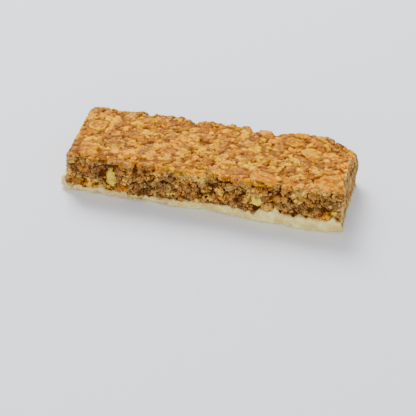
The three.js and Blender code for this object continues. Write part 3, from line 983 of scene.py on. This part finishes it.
class BAR_OT_rolled_oats(Operator):
    """Scatters rolled oats, mostly lying flat, over the torn sides, the ends and the top"""

    bl_idname = "bar.rolled_oats"
    bl_label = "Rolled oats"

    def execute(self, context):
        sizes = context.scene.bar_sizes
        colours = context.scene.bar_colours
        material = grain_finish("rolled_oat", colours, DRY_OAT, GLAZED, pore_size=0.9 * mm, roughness=0.5)
        grain_piece(
            "rolled_oats", material, 11, flake(),
            pitches={"front": 6, "back": 6, "left": 6, "right": 6, "edge": 3, "top": 9},
            size=(sizes.oat_length, sizes.oat_width, sizes.oat_thickness),
            depth=(0.5 * mm, 1.3 * mm), tilt=0.6, lumps=0.1, frequency=1.6,
        )
        return {"FINISHED"}


class BAR_OT_puffed_crisps(Operator):
    """Scatters puffed crisps over the torn sides, the ends and the top's edges"""

    bl_idname = "bar.puffed_crisps"
    bl_label = "Puffed crisps"

    def execute(self, context):
        length = context.scene.bar_sizes.crisp_length
        colours = context.scene.bar_colours
        material = grain_finish(
            "puffed_crisp", colours, DRY_CRISP, GLAZED, pore_size=0.7 * mm, roughness=0.55
        )
        grain_piece(
            "puffed_crisps", material, 23, ball(3),
            pitches={"front": 2.9, "back": 3.2, "left": 3.4, "right": 3.4, "edge": 3},
            size=(length, 0.82 * length, 0.75 * length),
            depth=(0.3 * mm, 1.4 * mm), tilt=1.2, lumps=0.28, frequency=3.4,
        )
        return {"FINISHED"}


class BAR_OT_crumbs(Operator):
    """Scatters broken grains and fine crumb over the torn sides, the ends and the top's edges"""

    bl_idname = "bar.crumbs"
    bl_label = "Crumb"

    def execute(self, context):
        crumb = context.scene.bar_sizes.crumb_size
        colours = context.scene.bar_colours
        material = grain_finish(
            "broken_crumb", colours, DRY_CRUMB, GLAZED, pore_size=0.6 * mm, roughness=0.6
        )
        for name, seed, shape, length, pitch, depth in (
            ("broken_grains", 37, ball(2), crumb, 1.52, (0.2 * mm, 1.2 * mm)),
            ("fine_crumb", 41, ball(1), 0.5 * crumb, 0.86, (0.3 * mm, 1.3 * mm)),
        ):
            grain_piece(
                name, material, seed, shape,
                pitches=dict.fromkeys(("front", "back", "left", "right", "edge"), pitch),
                size=(length, 0.85 * length, 0.75 * length),
                depth=depth, tilt=0.8, lumps=0.34, frequency=3.2,
            )
        return {"FINISHED"}


class BAR_OT_nut_pieces(Operator):
    """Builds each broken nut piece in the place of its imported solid"""

    bl_idname = "bar.nut_pieces"
    bl_label = "Nut pieces"

    def execute(self, context):
        colours = context.scene.bar_colours
        roast, bare = (
            grain_finish(name, colours, toast, toast, 1.1 * mm, roughness, pore_shade_strength, is_nut=True)
            for name, toast, roughness, pore_shade_strength in (
                ("roasted_nut", ROASTED, 0.4, 0.25),
                ("bare_nut", BARE_NUT, 0.6, 0.4),
            )
        )
        slots = {part["node"]: part["material_slot"] for part in frame["record"]["subparts"]}
        for number, (name, (middle, half)) in enumerate(nut_boxes().items()):
            is_bare = slots[name] == "pale_nut"
            inside, rim, front, lumps, dish, *form = NUT_LOOKS[name]
            unit, faces, points = broken_nut(50 + number, half, lumps * mm, *form)
            points = press(points + middle, top=0.5 * mm, side=1.2 * mm)
            outer = smooth_step(np.hypot(unit[:, 0], unit[:, 1]), 0.45, 0.85)
            upper = smooth_step(unit[:, 2], 0, 0.5)
            pitted = 0.5 + 0.5 * ripple(points, 2.6 * mm, seed=30 + number)
            points[:, 2] -= (dish * (1 - outer) + 0.9 * lumps * pitted) * mm * upper
            tone = inside + (rim - inside) * outer
            # Paler along the front: partly the nut's own colour, partly painted light on its front face.
            tone = tone + (front - tone) * outer * smooth_step(-unit[:, 1], 0.3, 0.8)
            tone = tone + 0.2 * ripple(unit * half * [0.5, 1.5, 1], 2 * mm, seed=number)
            if is_bare:
                browned = smooth_step(middle[0] - points[:, 0], 0.1 * half[0], 1.0 * half[0])
                tone = 0.3 * tone + 0.9 * browned
            split = 1 - smooth_step(np.abs(ripple(points, 7 * mm, seed=60 + number)), 0, 0.16)
            film = (0.1 + 0.5 * inside) * smooth_step(ripple(points, 3 * mm, seed=80 + number), 0.4, 1.4)
            film = np.maximum(film, (0.2 + 0.7 * inside) * split)
            attributes = surface_attributes(points, tone, film)
            # the nut pieces take less of the syrup and painted shade that deepens into the gaps
            attributes["depth"] = 0.3 * attributes["depth"]
            kernel = name.replace("piece", "kernel")
            material = bare if is_bare else roast
            new_piece(kernel, points, faces.tolist(), material, [name], attributes)
        return {"FINISHED"}


class BAR_OT_coating(Operator):
    """Builds the white coating: a tray under the bar with an uneven rim up its sides"""

    bl_idname = "bar.coating"
    bl_label = "White coating"

    def execute(self, context):
        points, faces, stain_and_shade = coating_tray()
        finish = coating_finish(context.scene.bar_colours)
        attributes = {"stain_and_shade": stain_and_shade}
        new_piece("yoghurt_coating", points, faces, finish, ["white_coating"], attributes)
        return {"FINISHED"}


# ---- stage

FLOOR_SIZE = 6  # metres, so that its edge lies far out of view
AIM_OFFSET = np.array([-0.46, -6.24, -7.3]) * mm  # from under the slab's middle to the camera's aim
SKY_COLOUR = (0.95, 0.97, 1.0, 1)


class BAR_OT_stage(Operator):
    """Lays a pale floor and sets the lights and the camera"""

    bl_idname = "bar.stage"
    bl_label = "Stage"

    def execute(self, context):
        scene = context.scene
        stage = scene.bar_stage
        bpy.ops.mesh.primitive_plane_add(size=FLOOR_SIZE, location=(0, 0, 0))
        floor = context.object
        floor.name = "pale_floor"
        material, tree = new_material("pale_floor")
        shader = add_node(tree, "BsdfPrincipled", {}, {"Base Color": stage.floor_colour, "Roughness": 0.7})
        add_node(tree, "OutputMaterial", {}, {"Surface": shader})
        floor.data.materials.append(material)

        world = bpy.data.worlds.new("soft_room")
        scene.world = world
        world.use_nodes = True
        background = world.node_tree.nodes["Background"]
        background.inputs["Color"].default_value = SKY_COLOUR
        background.inputs["Strength"].default_value = stage.room_light
        for name, place, size, power in (
            ("window_light", Vector((-0.5, 0.75, 1.0)), 0.7, stage.window_power),
            ("front_fill", Vector((0.3, -1.2, 0.7)), 1.0, stage.fill_power),
        ):
            lamp = bpy.data.lights.new(name, "AREA")
            lamp.size = size
            lamp.energy = power
            light = bpy.data.objects.new(name, lamp)
            light.location = place
            light.rotation_euler = place.to_track_quat("Z", "Y").to_euler()
            scene.collection.objects.link(light)

        camera_data = bpy.data.cameras.new("camera")
        camera_data.lens = stage.lens
        camera_data.clip_end = 20
        camera = bpy.data.objects.new("camera", camera_data)
        scene.collection.objects.link(camera)
        azimuth, elevation = stage.azimuth, stage.elevation
        level = math.cos(elevation)
        back = Vector((math.sin(azimuth) * level, -math.cos(azimuth) * level, math.sin(elevation)))
        camera.location = Vector(MIDDLE + AIM_OFFSET) + stage.distance * back
        camera.rotation_euler = back.to_track_quat("Z", "Y").to_euler()
        scene.camera = camera
        return {"FINISHED"}


# ---- settings, panel and registration


def length_property(name, description, value):
    """A length setting."""
    return FloatProperty(name=name, description=description, default=value, unit="LENGTH")


def colour_property(name, description, hex_colour):
    """A colour setting whose default is an sRGB hex colour."""
    return FloatVectorProperty(name=name, description=description, default=(*linear(hex_colour), 1),
                               subtype="COLOR", min=0, max=1, size=4)


def angle_property(name, description, degrees):
    """An angle setting whose default is in degrees."""
    return FloatProperty(name=name, description=description, default=math.radians(degrees),
                         unit="ROTATION")


def power_property(name, description, watts):
    """A light power setting."""
    return FloatProperty(name=name, description=description, default=watts, unit="POWER")


class BarSizes(PropertyGroup):
    """Sizes of the grains"""

    oat_length: length_property("Oat length", "Usual length of a rolled oat", 3.6 * mm)
    oat_width: length_property("Oat width", "Usual width of a rolled oat", 2.5 * mm)
    oat_thickness: length_property("Oat thickness", "Usual thickness of a rolled oat", 0.9 * mm)
    crisp_length: length_property("Crisp length", "Usual length of a puffed crisp", 2.8 * mm)
    crumb_size: length_property("Crumb size", "Usual size of a broken grain", 1.5 * mm)


class BarColours(PropertyGroup):
    """Colours of the syrup and the coating"""

    # The syrup colour also paints the shade in deep gaps and in the open pores.
    syrup: colour_property("Syrup", "Syrup in the gaps between grains", "602E0C")
    cut_crumb: colour_property("Cut crumb", "Crumb smeared by the knife at the ends", "BC9A5C")
    film: colour_property("Film", "Syrup in the lines between the crisps of the top", "925A2C")
    nut_lines: colour_property("Nut lines", "Syrup and skin in the lines of the roasted nuts", "A45400")
    blush: colour_property("Blush", "Pinkish syrup soaked into the top", "A86E42")
    pool: colour_property("Pool", "Syrup that lies thick over the top", "9C6034")
    coating: colour_property("Coating", "White coating where it is thick", "FFF6A0")
    coating_thin: colour_property("Thin coating", "White coating where it is thin", "E8CA72")
    # Darker coating for syrup stains and for painted shade near the rim and at the thin end.
    coating_stained_and_shaded: colour_property("Stained coating", "White coating where syrup stains it", "D0A278")


class BarStage(PropertyGroup):
    """Camera, lights and floor"""

    azimuth: angle_property("Azimuth", "How far the camera stands round towards +X", 14.9)
    elevation: angle_property("Elevation", "How steeply the camera looks down", 39)
    distance: length_property("Distance", "From the camera to its aim", 680 * mm)
    lens: FloatProperty(name="Lens", description="Focal length in millimetres", default=144.95,
                        unit="CAMERA")
    room_light: FloatProperty(name="Room light", description="Strength of the light from all round",
                              default=0.85)
    window_power: power_property("Window light", "Power of the large light behind the bar", 28)
    fill_power: power_property("Fill light", "Power of the light in front of the bar", 6)
    floor_colour: colour_property("Floor", "Pale floor", "EEF0F6")


STEPS = (BAR_OT_syrup_mass, BAR_OT_rolled_oats, BAR_OT_puffed_crisps, BAR_OT_crumbs, BAR_OT_nut_pieces,
         BAR_OT_coating, BAR_OT_stage)


class BAR_PT_panel(Panel):
    """Lists the steps that build the bar"""

    bl_label = "Protein bar"
    bl_space_type = "VIEW_3D"
    bl_region_type = "UI"
    bl_category = "Protein bar"

    def draw(self, context):
        for step in STEPS:
            self.layout.operator(step.bl_idname)


CLASSES = (BarSizes, BarColours, BarStage, *STEPS, BAR_PT_panel)


def register():
    for cls in CLASSES:
        bpy.utils.register_class(cls)
    bpy.types.Scene.bar_sizes = PointerProperty(type=BarSizes)
    bpy.types.Scene.bar_colours = PointerProperty(type=BarColours)
    bpy.types.Scene.bar_stage = PointerProperty(type=BarStage)


def unregister():
    del bpy.types.Scene.bar_stage
    del bpy.types.Scene.bar_colours
    del bpy.types.Scene.bar_sizes
    for cls in reversed(CLASSES):
        bpy.utils.unregister_class(cls)


def main():
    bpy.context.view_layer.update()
    register()
    bpy.ops.bar.syrup_mass()
    bpy.ops.bar.rolled_oats()
    bpy.ops.bar.puffed_crisps()
    bpy.ops.bar.crumbs()
    bpy.ops.bar.nut_pieces()
    bpy.ops.bar.coating()
    bpy.ops.bar.stage()


if __name__ == "__main__":
    main()
